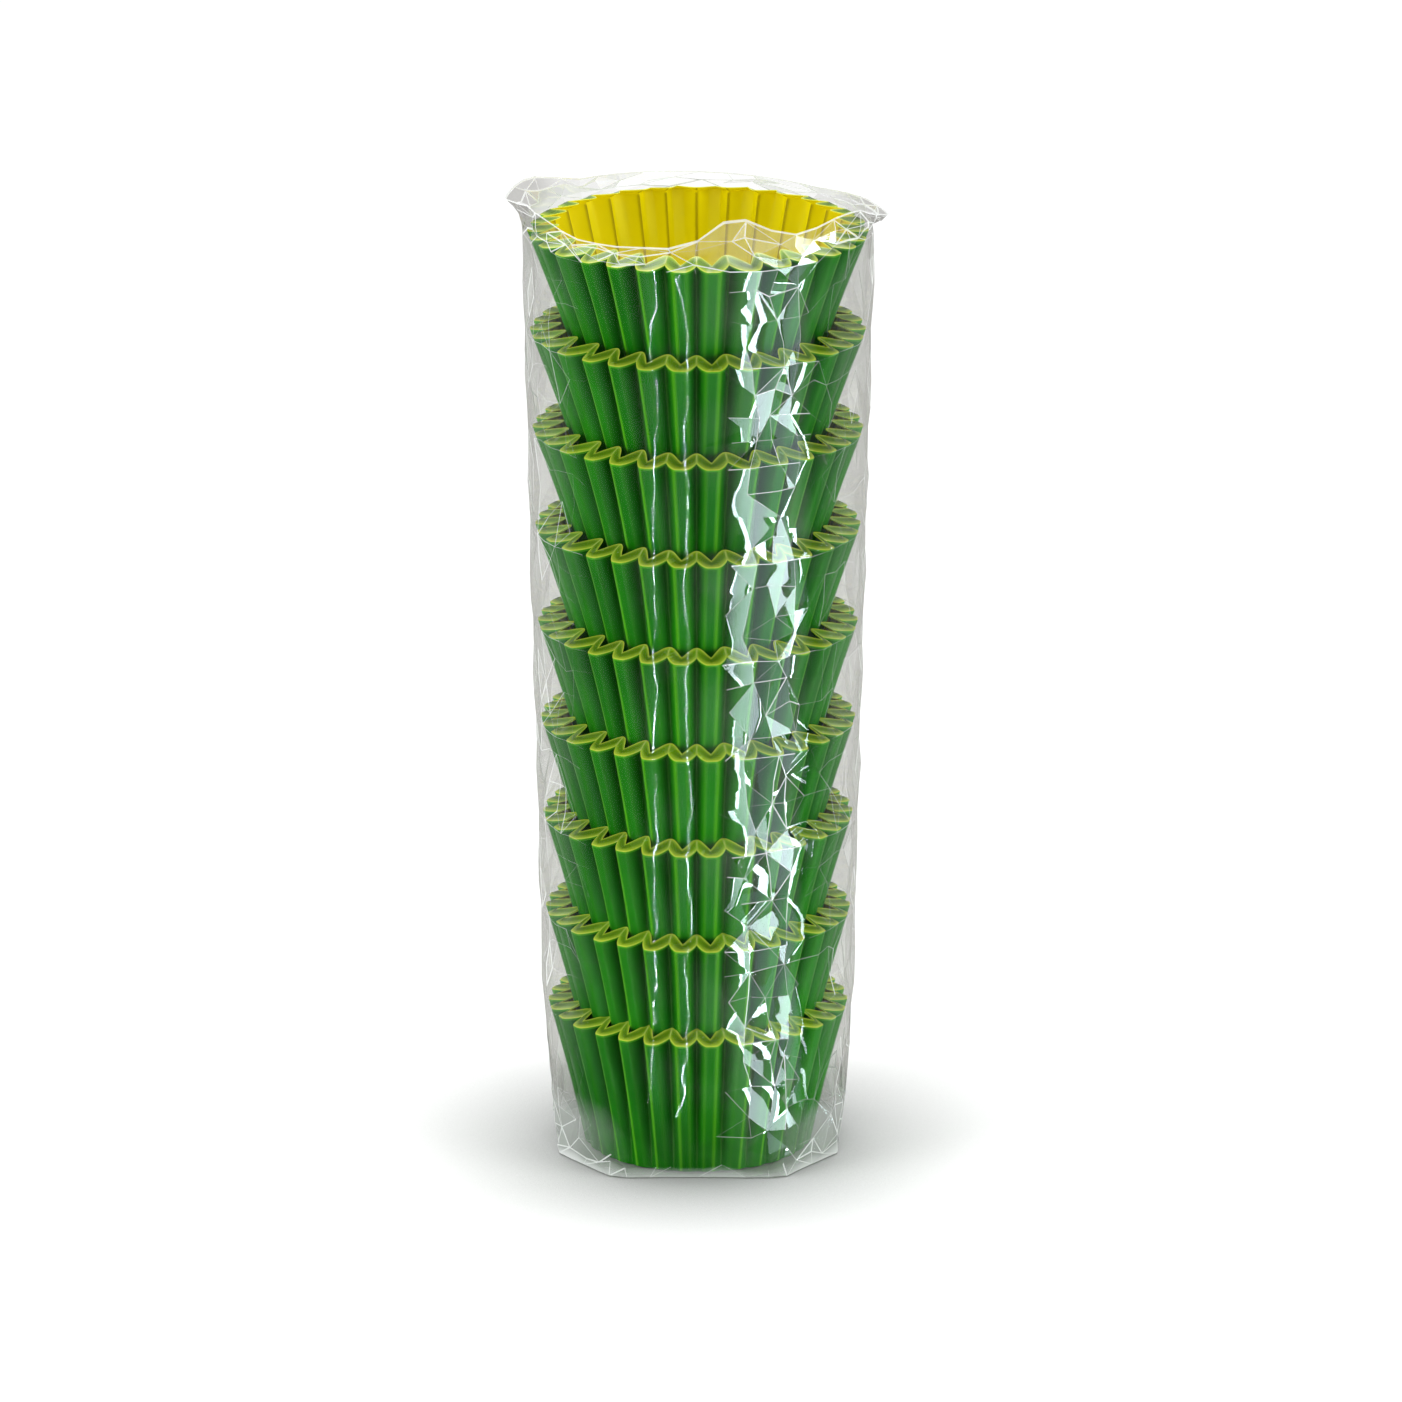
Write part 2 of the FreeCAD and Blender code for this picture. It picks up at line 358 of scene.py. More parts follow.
class StageSettings(bpy.types.PropertyGroup):
    """Camera, floor and lights."""
    distance: bpy.props.FloatProperty(
        name="Camera distance", description="Camera to the stack's axis, level",
        default=1.912, unit="LENGTH")
    height: bpy.props.FloatProperty(
        name="Camera height", description="Camera above the floor", default=0.6977, unit="LENGTH")
    tilt: bpy.props.FloatProperty(
        name="Camera tilt", description="How far the camera looks down",
        default=0.3030, subtype="ANGLE")
    aside: bpy.props.FloatProperty(
        name="Camera aside", description="Camera to the right of the axis",
        default=0.00065, unit="LENGTH")
    lens: bpy.props.FloatProperty(
        name="Lens", description="Focal length on a 36 mm frame", default=237.3, unit="CAMERA")
    world: bpy.props.FloatProperty(
        name="World", description="Strength of the even light all round", default=0.5)
    sun: bpy.props.FloatProperty(
        name="Overhead", description="Strength of the soft light from above", default=1.6)
    card: bpy.props.FloatProperty(
        name="Card", description="Brightness of the reflector that the film mirrors", default=11.0)
    floor: bpy.props.FloatVectorProperty(
        name="Floor", description="Colour of the floor", subtype="COLOR",
        default=(1.0, 1.0, 1.0), max=1.2)


class PleatedCup:
    """Surface of one pleated cup, worked out as arrays of rows, pleats and samples.

    Across a pleat, u runs from -1 in one valley over 0 on the ridge to 1 in the next valley,
    and s is its size without the sign. A row's radius is its ridge radius less its depth times
    a form of s, and its height is its ridge height plus its wave times another form of s.
    """

    RIM_PROUD = 0.0003       # the paper's rim beyond the solid's
    RIDGE_TURN = 0.010       # most that a ridge is turned from its place, in radians
    DEPTH_SPREAD = 0.06      # most that a pleat is deeper or shallower than the rest
    DENT = 0.00012           # most that a ridge is pressed in at its crease
    RISE = 0.00012           # most that a ridge's crease is higher or lower
    CREASE_WAVE = 0.0005     # how much higher the crease is in the valleys
    BOW = 0.00025            # how far the wall bows in at mid-height
    FLOOR_SAG = 0.0002       # how much higher the floor's middle is than its edge

    ACROSS = np.array([-1.0, -0.975, -0.92, -0.84, -0.74, -0.63, -0.53, -0.44, -0.34, -0.2, 0.0,
                       0.2, 0.34, 0.44, 0.53, 0.63, 0.74, 0.84, 0.92, 0.975])

    def __init__(self, settings, node_name):
        low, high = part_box(node_name)
        self.settings = settings
        self.bottom = low.z
        self.rim = high.x + self.RIM_PROUD
        self.chance = np.random.default_rng(11)

    @staticmethod
    def warp(angle):
        """Angle turned by a few slow waves, so that no two pleats are quite as wide."""
        return (angle + 0.010 * np.sin(5 * angle + 0.4) + 0.008 * np.sin(11 * angle + 2.0)
                + 0.005 * np.sin(17 * angle + 4.0))

    @staticmethod
    def scallop(s):
        """Wall's form: flat on the ridge, then 1.35th power of the rest, up to 1 in the valley."""
        return np.clip((s - 0.3) / 0.7, 0, 1) ** 1.35

    @staticmethod
    def ripple(s):
        """Lip edge's form: sine of a quarter turn, pointed on the ridge and round in the valley."""
        return np.sin(s * math.pi / 2) ** 1.08

    def rows(self):
        """Ridge radius, depth, ridge height, wave, lip share and rim share of each outside row."""
        s = self.settings
        lines = []
        for share in (0.04, 0.45, 0.85, 0.985):
            lines.append((s.floor_radius * share, s.floor_depth * share ** 4,
                          self.FLOOR_SAG * (1 - share ** 4), 0.0, 0.0, 0.0))
        for share in (0.006, 0.03, 0.1, 0.2, 0.31, 0.42, 0.53, 0.64, 0.75, 0.86, 0.94, 0.982, 1.0):
            bow = self.BOW * math.sin(math.pi * share)
            lines.append((s.floor_radius + (self.rim - s.floor_radius) * share - bow,
                          s.floor_depth + (s.pleat_depth - s.floor_depth) * share ** 0.8,
                          s.wall_height * share, self.CREASE_WAVE * share ** 6, 0.0,
                          1.0 if share == 1.0 else 0.0))
        for share, rim in ((0.16, 0.3), (0.45, 0.0), (0.72, 0.0), (0.9, 0.2), (1.0, 1.0)):
            lines.append((self.rim - s.lip_reach * share,
                          s.pleat_depth + (s.lip_depth - s.pleat_depth) * share,
                          s.wall_height + s.lip_rise * share ** 0.9,
                          self.CREASE_WAVE + (s.lip_wave - self.CREASE_WAVE) * share, share, rim))
        return np.array(lines)

    def outside(self):
        """Points of the outside as rows by columns, with its fold, groove and depth numbers; the
        depth number is painted shade.
        """
        s = self.settings
        rows = self.rows()
        half_pitch = math.pi / s.pleats
        ridges = self.warp(2 * half_pitch * np.arange(s.pleats))
        ridges += self.chance.uniform(-self.RIDGE_TURN, self.RIDGE_TURN, s.pleats)
        valleys = self.warp(2 * half_pitch * (np.arange(s.pleats + 1) - 0.5))
        deepness = 1 + self.DEPTH_SPREAD * self.chance.uniform(-1, 1, s.pleats + 1)
        deepness[-1] = deepness[0]
        dent = self.chance.uniform(0.0, self.DENT, s.pleats)
        rise = self.chance.uniform(-self.RISE, self.RISE, s.pleats)
        u = self.ACROSS
        s_across = np.abs(u)
        left = u < 0
        pull = np.where(left, valleys[:-1, None], valleys[1:, None])
        angle = ridges[:, None] + s_across * (pull - ridges[:, None])
        pleat_depth = np.where(left, deepness[:-1, None], deepness[1:, None])
        lip = rows[:, 4, None, None]
        form = (1 - lip) * self.scallop(s_across) + lip * self.ripple(s_across)
        wave = (1 - lip) * s_across ** 3 + lip * self.ripple(s_across)
        up_wall = np.clip(rows[:, 2] / s.wall_height, 0, 1)[:, None, None]
        middle = (1 - s_across) ** 2
        radius = rows[:, 0, None, None] - rows[:, 1, None, None] * form * pleat_depth
        radius = radius - dent[:, None] * up_wall * middle
        height = rows[:, 2, None, None] + rows[:, 3, None, None] * wave
        height = height + rise[:, None] * up_wall * middle
        points = np.stack([radius * np.cos(angle), radius * np.sin(angle), height], axis=-1)
        # Fold lines on the walls: lighter print on each ridge's two corners, plus a painted
        # highlight that makes the corner facing the left or right side lights brighter and the
        # other one darker.
        corner_toward_side_lights = np.tanh(-3 * np.sign(u) * np.sin(2 * ridges)[:, None])
        crease = np.exp(-((s_across - 0.4) / 0.1) ** 2) * (0.5 + 0.42 * corner_toward_side_lights)
        groove = np.clip((s_across - 0.91) / 0.09, 0, 1) * np.clip(30 * up_wall - 0.3, 0, 1)
        shape = points.shape[:3]
        rim = rows[:, 5, None, None]
        fold = np.maximum(crease * (rows[:, 4, None, None] == 0), rim)
        fold = np.broadcast_to(fold, shape)
        groove = np.broadcast_to(groove * (1 - rim), shape)
        # Painted shade, kept as the depth number: the walls darker towards the valleys and higher
        # up, and the lip darker towards each ridge, where it turns in most.
        depth = 0.75 * np.clip((s_across - 0.55) / 0.35, 0, 1) * up_wall ** 0.5 * (rim == 0)
        lip_depth = 0.65 * (lip > 0) * (1 - s_across) ** 0.7 * (rim == 0)
        depth = np.broadcast_to(np.maximum(depth * (lip == 0), lip_depth), shape)
        flat = (len(rows), -1)
        return (points.reshape(flat + (3,)), fold.reshape(flat), groove.reshape(flat),
                depth.reshape(flat))

    def surfaces(self):
        """Points and numbers of the whole sheet, its outside up and its inside back down.

        The inside is the outside moved inwards by the paper's thickness along the surface's
        normals, which are the cross products of its steps round and up.
        """
        outer, fold, groove, depth = self.outside()
        across = np.roll(outer, -1, axis=1) - np.roll(outer, 1, axis=1)
        up = np.gradient(outer, axis=0)
        normal = np.cross(across, up)
        normal /= np.linalg.norm(normal, axis=-1, keepdims=True)
        inner = outer - normal * self.settings.paper
        sheet = np.concatenate([outer, inner[::-1]], axis=0)
        sheet[:, :, 2] += self.bottom
        inner_fold = np.zeros_like(fold)
        inner_fold[-1] = 1.0
        # The inside reads the groove number through its yellow material as painted shade in the
        # crevices of the folds.
        inside_painted_crevice_shade = groove.copy()
        inside_painted_crevice_shade[-1] = 0.0
        numbers = {"fold": np.concatenate([fold, inner_fold[::-1]]),
                   "groove": np.concatenate([groove, inside_painted_crevice_shade[::-1]]),
                   # The depth number, painted shade, is left at nought on the inside.
                   "depth": np.concatenate([depth, np.zeros_like(depth)])}
        return sheet, numbers, len(outer)


class BAKINGCUPS_OT_liners(bpy.types.Operator):
    """Make the nine pleated paper liners, green outside and yellow inside"""
    bl_idname = "baking_cups.liners"
    bl_label = "Paper liners"

    LIP_ROWS = 5

    def execute(self, context):
        settings = context.scene.baking_cups_liners
        fold, rim = tuple(settings.fold), tuple(settings.rim)
        green = paper_material("liner_green", settings.outside, settings.outside_deep, fold,
                               (0.06, 0.26, 0.03), 0.38)
        lip = paper_material("liner_lip", settings.lip, [c * 0.65 for c in settings.lip], rim,
                             (0.62, 0.74, 0.14), 0.2, 0.8)
        # The inside's dark olive groove colour is painted shade in the crevices of its folds.
        yellow = paper_material("liner_yellow", settings.inside,
                                [c * 0.93 for c in settings.inside], rim, (0.46, 0.38, 0.004), 0.45)
        cut_edge = paper_material("liner_cut_edge", rim, [c * 0.9 for c in rim], rim, rim, 0.4)
        for name in LINERS:
            cup = PleatedCup(settings, name)
            sheet, numbers, outer_rows = cup.surfaces()
            rows, columns = sheet.shape[:2]
            faces = closed_grid(rows, columns)
            band = np.repeat(np.arange(rows - 1), columns)
            kind = np.where(band < outer_rows - 1 - self.LIP_ROWS, 0, 1)
            kind = np.where(band >= outer_rows - 1, 2, kind)
            kind = np.where(band == outer_rows - 1, 3, kind)
            kinds = np.concatenate([kind, np.zeros(columns, int), np.full(columns, 2)])
            centres = np.stack([sheet[0].mean(axis=0), sheet[-1].mean(axis=0)])
            points = np.concatenate([sheet.reshape(-1, 3), centres])
            numbers = {label: np.append(number.reshape(-1), (0.0, 0.0))
                       for label, number in numbers.items()}
            piece = mesh_object(name + "_paper", points, faces, (green, lip, yellow, cut_edge),
                                kinds, numbers)
            piece.data.set_sharp_from_angle(angle=math.radians(40))
            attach(piece, "root")
            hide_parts(name)
        return {"FINISHED"}


class BAKINGCUPS_OT_film(bpy.types.Operator):
    """Make the crumpled bag of clear film round the stack"""
    bl_idname = "baking_cups.film"
    bl_label = "Film bag"

    # Columns over a quarter of the bag, in degrees from its side, closest where it creases most.
    QUARTER = (0, 4, 9, 15, 22, 30, 38, 46, 54, 62, 71, 80)
    # Rows of the tube from rim to rim: share of the rise, how far the film is drawn in
    # there, and how much further its side creases stand out, in millimetres.
    TIER = ((0.0, 0.0, 0.0), (0.22, 0.5, 0.35), (0.47, 1.1, 0.5), (0.74, 1.0, 0.25))
    # Rows of the foot: height in millimetres, share of the way from the foot's outline to the
    # tube's, and crumple in millimetres.
    FOOT = ((0.3, 0.0, 0.2), (2.6, 0.08, 0.8), (6.0, 0.26, 1.1), (10.5, 0.48, 1.0),
            (16.0, 0.72, 0.8), (22.0, 0.9, 0.6), (27.5, 0.98, 0.5))
    # Mouth: azimuth in degrees from the front, height above the last crease and how far it
    # leans out, both in millimetres.
    MOUTH = ((-90, 7.0, 4.6), (-75, 8.0, 0.8), (-60, 6.8, 0.0), (-45, 4.8, -0.3), (-30, 4.6, -0.6),
             (-15, 5.2, -0.8), (-6, 5.0, -1.2), (2, 7.0, -3.4), (10, 9.6, -6.0), (20, 9.8, -6.2),
             (29, 7.2, -3.6), (38, 6.2, -1.2), (50, 8.2, -0.4), (65, 8.6, 0.0), (78, 5.6, 1.0),
             (90, 3.4, 4.2), (104, 4.2, 1.0), (135, 2.7, 0.0), (180, 3.7, -0.2), (225, 4.6, 0.0),
             (248, 8.2, 1.0), (258, 8.6, 2.6), (270, 7.0, 4.6))

    # Zones round the film, in degrees from the front to the right: where it is crumpled most
    # and mirrors the card, where it gleams, where its creases are painted white as highlights,
    # the flap that leans in, the faces without facets, and the two ridges on which it lies smooth.
    BRIGHT = (10, 44)
    GLEAMS = (9, 43)
    PAINTED_HIGHLIGHT_CREASES = (14, 40)
    FLAP = (-8, 40)
    SMOOTH = (-20, 60)
    RIDGE_LINES = (-15.0, -3.5)

    def from_front(self, angle):
        """Angle counted from the front, -90 degrees at the left side to 270 behind it."""
        return np.mod(np.degrees(angle) + 180, 360) - 90

    @staticmethod
    def within(azimuth, zone):
        """Whether each azimuth lies between a zone's two ends."""
        return (azimuth > zone[0]) & (azimuth < zone[1])

    def foot_outline(self, angle):
        """Eight-sided foot as x and y: each coordinate is straight between its corners."""
        turned = np.mod(angle, 2 * math.pi)
        folded = np.where(turned > math.pi, 2 * math.pi - turned, turned)
        folded = np.where(folded > math.pi / 2, math.pi - folded, folded)
        corners = np.radians([0, 21.3, 56.5, 90])
        x = np.interp(folded, corners, MM * np.array([30.8, 30.8, 18.5, 0.0]))
        y = np.interp(folded, corners, MM * np.array([0.0, 12.0, 28.0, 28.0]))
        return x * np.where(np.cos(turned) < 0, -1, 1), y * np.where(np.sin(turned) < 0, -1, 1)

    def tube_radius(self, angle, height, drawn_in, stands_out, settings):
        """Axis to the film: the rims' radius growing with height, a side crease, a dent.

        The crease adds its reach times one less the sine of the angle from the side over that
        of 24 degrees, where above nought, and the dent is drawn in away from the side.
        """
        climbed = np.clip((height - FIRST_CREASE) / (LAST_CREASE - FIRST_CREASE), 0, 1)
        rim = LOWEST[1].x + (HIGHEST[1].x - LOWEST[1].x) * climbed
        side = np.clip(1 - np.abs(np.sin(angle)) / math.sin(math.radians(24)), 0, 1)
        reach = settings.side_reach + MM * stands_out
        return rim + settings.clearance + reach * side - MM * drawn_in * (1 - side)

    def rows(self, settings):
        """Points of the film from its sole up to its mouth, as rows by columns."""
        chance = np.random.default_rng(5)
        quarter = np.array(self.QUARTER)
        half = np.concatenate([quarter, [90], 180 - quarter[:0:-1]])
        ring = np.radians(np.concatenate([half, half + 180]))
        columns = len(ring)
        gap = (np.roll(ring, -1) - np.roll(ring, 1)) % (2 * math.pi) / 2
        seam = np.abs(np.sin(ring)) < 0.01
        sway = chance.uniform(0, 2 * math.pi, columns)
        rise = (HIGHEST[0].z - LOWEST[0].z) / (len(LINERS) - 1)
        grid = []
        foot_x, foot_y = self.foot_outline(ring)
        for share in (0.5, 0.96):
            grid.append(np.stack([foot_x * share, foot_y * share, np.full(columns, SOLE)], -1))
        for height, share, crumple in self.FOOT:
            loose = ~seam * (height > 1)
            angle = ring + chance.uniform(-0.3, 0.3, columns) * gap * loose
            level = MM * (height + chance.uniform(-1.0, 1.0, columns) * (height > 1))
            radius = self.tube_radius(angle, level, 0.0, 0.0, settings)
            foot_x, foot_y = self.foot_outline(angle)
            x = foot_x + (radius * np.cos(angle) - foot_x) * share
            y = foot_y + (radius * np.sin(angle) - foot_y) * share
            push = 1 + chance.uniform(-1, 0.4, columns) * crumple * MM / 0.03
            grid.append(np.stack([x * push, y * push, level], -1))
        for tier in range(len(LINERS)):
            for share, drawn_in, stands_out in self.TIER[:1 if tier == len(LINERS) - 1 else None]:
                calm = 0.35 if share == 0 else 1.0
                turn = 0.22 * np.sin(1.1 * len(grid) + sway) + chance.uniform(-0.12, 0.12, columns)
                angle = ring + turn * gap * ~seam
                level = FIRST_CREASE + rise * (tier + share)
                level = level + chance.uniform(-0.0012, 0.0012, columns) * calm
                radius = self.tube_radius(angle, level, drawn_in, stands_out, settings)
                side = np.abs(np.cos(angle)) ** 2
                bright = self.within(self.from_front(angle), self.BRIGHT)
                rough = settings.crumple * (0.35 + 0.75 * side + 0.55 * bright)
                rough = rough * (0.15 if share == 0 else 1.0)
                rough = np.where(seam, 0.4 * rough, rough)
                radius += chance.uniform(-1.0, 0.3, columns) * rough
                grid.append(np.stack([radius * np.cos(angle), radius * np.sin(angle), level], -1))
        around, heights, leans = np.array(self.MOUTH).T
        for share in (0.33, 0.66, 0.95, 1.0):
            angle = ring + chance.uniform(-0.25, 0.25, columns) * gap * ~seam * (share < 0.9)
            place = self.from_front(angle)
            lean = np.interp(place, around, leans) * share ** 1.5
            radius = self.tube_radius(angle, LAST_CREASE, 0.0, -0.8, settings) + MM * lean
            level = LAST_CREASE + MM * np.interp(place, around, heights) * share
            rough = 0.0 if share > 0.9 else 1.0
            radius += chance.uniform(-1.4, 0.9, columns) * settings.crumple * rough
            level = level + chance.uniform(-0.0008, 0.0008, columns) * rough
            grid.append(np.stack([radius * np.cos(angle), radius * np.sin(angle), level], -1))
        return np.array(grid)

    def creases(self, angles, middles, steps):
        """Width of the crease at each edge, from 0 to 1, by its fold and by where it lies.

        Film that is drawn over the rims in front is smooth, and the sides, the mouth and the
        foot are full of sharp creases. Those that run up the bag are wider than the rest. The
        creases take the whitish crease film, partly whitened film and partly a painted highlight;
        to the right of the front they are painted highlights outlining the card's reflection.
        """
        azimuth = self.from_front(np.arctan2(middles[:, 1], middles[:, 0]))
        height = middles[:, 2]
        side = np.abs(middles[:, 0]) / (np.hypot(middles[:, 0], middles[:, 1]) + 1e-9)
        upright = np.abs(steps[:, 2]) / (np.linalg.norm(steps, axis=1) + 1e-9)
        zone = np.clip((side - 0.72) / 0.2, 0.0, 1.0) * (0.22 + 0.53 * upright)
        zone = np.maximum(zone, (0.6 + 0.4 * (side > 0.8)) * (height > LAST_CREASE + 0.0008))
        corner = 0.0028 + 0.011 * np.clip((side - 0.55) / 0.4, 0, 1)
        zone = np.maximum(zone, 0.7 * (height < corner))
        # Painted highlights: edges to the right of the front, between the rims, take the whitish
        # crease film along the card's reflection.
        highlight_crease_zone = self.within(azimuth, self.PAINTED_HIGHLIGHT_CREASES) & (height < LAST_CREASE)
        highlight_crease_zone = highlight_crease_zone & (height > 0.01)
        zone = np.maximum(zone, 0.5 * highlight_crease_zone)
        least = np.where(highlight_crease_zone, 4, 8)
        sharpness = np.clip((np.degrees(angles) - least) / 20, 0, 1)
        return zone * sharpness

    @staticmethod
    def triangles(count, columns):
        """Triangles of the grid and of its fan, with the row that each stands on.

        The diagonals of neighbouring cells cross like a net's, so that the creases lean
        either way.
        """
        row, column = np.meshgrid(np.arange(count - 1), np.arange(columns), indexing="ij")
        after = (column + 1) % columns
        a = row * columns + column
        b = row * columns + after
        c = (row + 1) * columns + after
        d = (row + 1) * columns + column
        swap = ((row + column) % 2 == 0)[..., None]
        one = np.where(swap, np.stack([a, b, c], -1), np.stack([a, b, d], -1))
        two = np.where(swap, np.stack([a, c, d], -1), np.stack([b, c, d], -1))
        ring = np.arange(columns)
        centre = np.full(columns, count * columns)
        fan = np.stack([centre, (ring + 1) % columns, ring], axis=-1)
        faces = one.reshape(-1, 3).tolist() + two.reshape(-1, 3).tolist() + fan.tolist()
        band = np.concatenate([row.reshape(-1), row.reshape(-1), np.zeros(columns, int)])
        return faces, band

    def looks(self, points):
        """Haze, gleam and shade at each point, which the film's material reads.

        The flap in front, the sides and the foot are milky, the film gleams where it is taut
        to the right of the front and over two ridges, and the shade number is painted shade that
        tints the film darker at its left and right sides, most at the mouth's corners.
        """
        azimuth = self.from_front(np.arctan2(points[:, 1], points[:, 0]))
        height = points[:, 2]
        mouth = height > LAST_CREASE + 0.002
        flap = mouth & self.within(azimuth, self.FLAP)
        side = np.abs(points[:, 0]) / (np.hypot(points[:, 0], points[:, 1]) + 1e-9)
        haze = 0.4 * flap + np.where(mouth, 0.1, 0.0)
        haze = haze + 0.35 * np.clip((side - 0.75) / 0.25, 0, 1) * (height < LAST_CREASE)
        haze = haze + 2.0 * (height < 0.0012)
        haze = haze + 0.9 * (height < 0.012) * np.clip((side - 0.5) / 0.3, 0, 1)
        start, end = self.GLEAMS
        taut = np.clip((azimuth - start) / 4, 0, 1) * np.clip((end - azimuth) / 4, 0, 1)
        lines = np.any([np.abs(azimuth - place) < 4 for place in self.RIDGE_LINES], axis=0)
        gleam = np.maximum(0.5 * mouth, 0.2 * lines)
        gleam = 0.06 + 0.94 * np.maximum(taut, gleam)
        # Painted shade: the film's left and right sides tinted darker, four times as much at the
        # mouth's corners.
        corners = 0.3 + 0.9 * (height > LAST_CREASE + 0.001)
        shade = np.clip((side - 0.7) / 0.3, 0, 1) * corners
        return {"haze": haze, "gleam": gleam, "shade": shade}

    def execute(self, context):
        settings = context.scene.baking_cups_film
        grid = self.rows(settings)
        count, columns = grid.shape[:2]
        faces, band = self.triangles(count, columns)
        kinds = np.where(band == count - 2, 1, 0)
        points = np.concatenate([grid.reshape(-1, 3), [[0.0, 0.0, SOLE]]])
        clear = film_material("film_clear", settings.clear, settings.edge, 0.2, 0.0, 1.5, 0.08)
        # Whitish crease film: partly the whitening of folded film, partly a painted highlight on
        # the creases.
        whitened_and_highlit_crease = film_material("film_crease_whitening_and_highlight", (0.95, 0.95, 0.95), (0.9, 0.9, 0.9),
                                0.0, 0.6, 1.4, 0.1)
        piece = mesh_object("film_wrap", points, faces, (clear, whitened_and_highlit_crease), kinds,
                            self.looks(points))
        weights = self.creases(*fold_angles(piece.data))
        edge_width = piece.data.attributes.new("bevel_weight_edge", "FLOAT", "EDGE")
        edge_width.data.foreach_set("value", weights.astype(np.float32))
        middles = points[np.array(faces)].mean(axis=1)
        azimuth = self.from_front(np.arctan2(middles[:, 1], middles[:, 0]))
        height = middles[:, 2]
        smooth = self.within(azimuth, self.SMOOTH) & (height < LAST_CREASE) & (height > 0.012)
        piece.data.polygons.foreach_set("use_smooth", smooth)
        bevel = piece.modifiers.new("creases", "BEVEL")
        bevel.width = settings.crease_width
        bevel.segments = 2
        bevel.limit_method = "WEIGHT"
        # The bevelled crease strips take the whitish crease film, partly a painted highlight.
        bevel.material = 1
        bevel.use_clamp_overlap = True
        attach(piece, "root")
        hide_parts("film_bag")
        return {"FINISHED"}


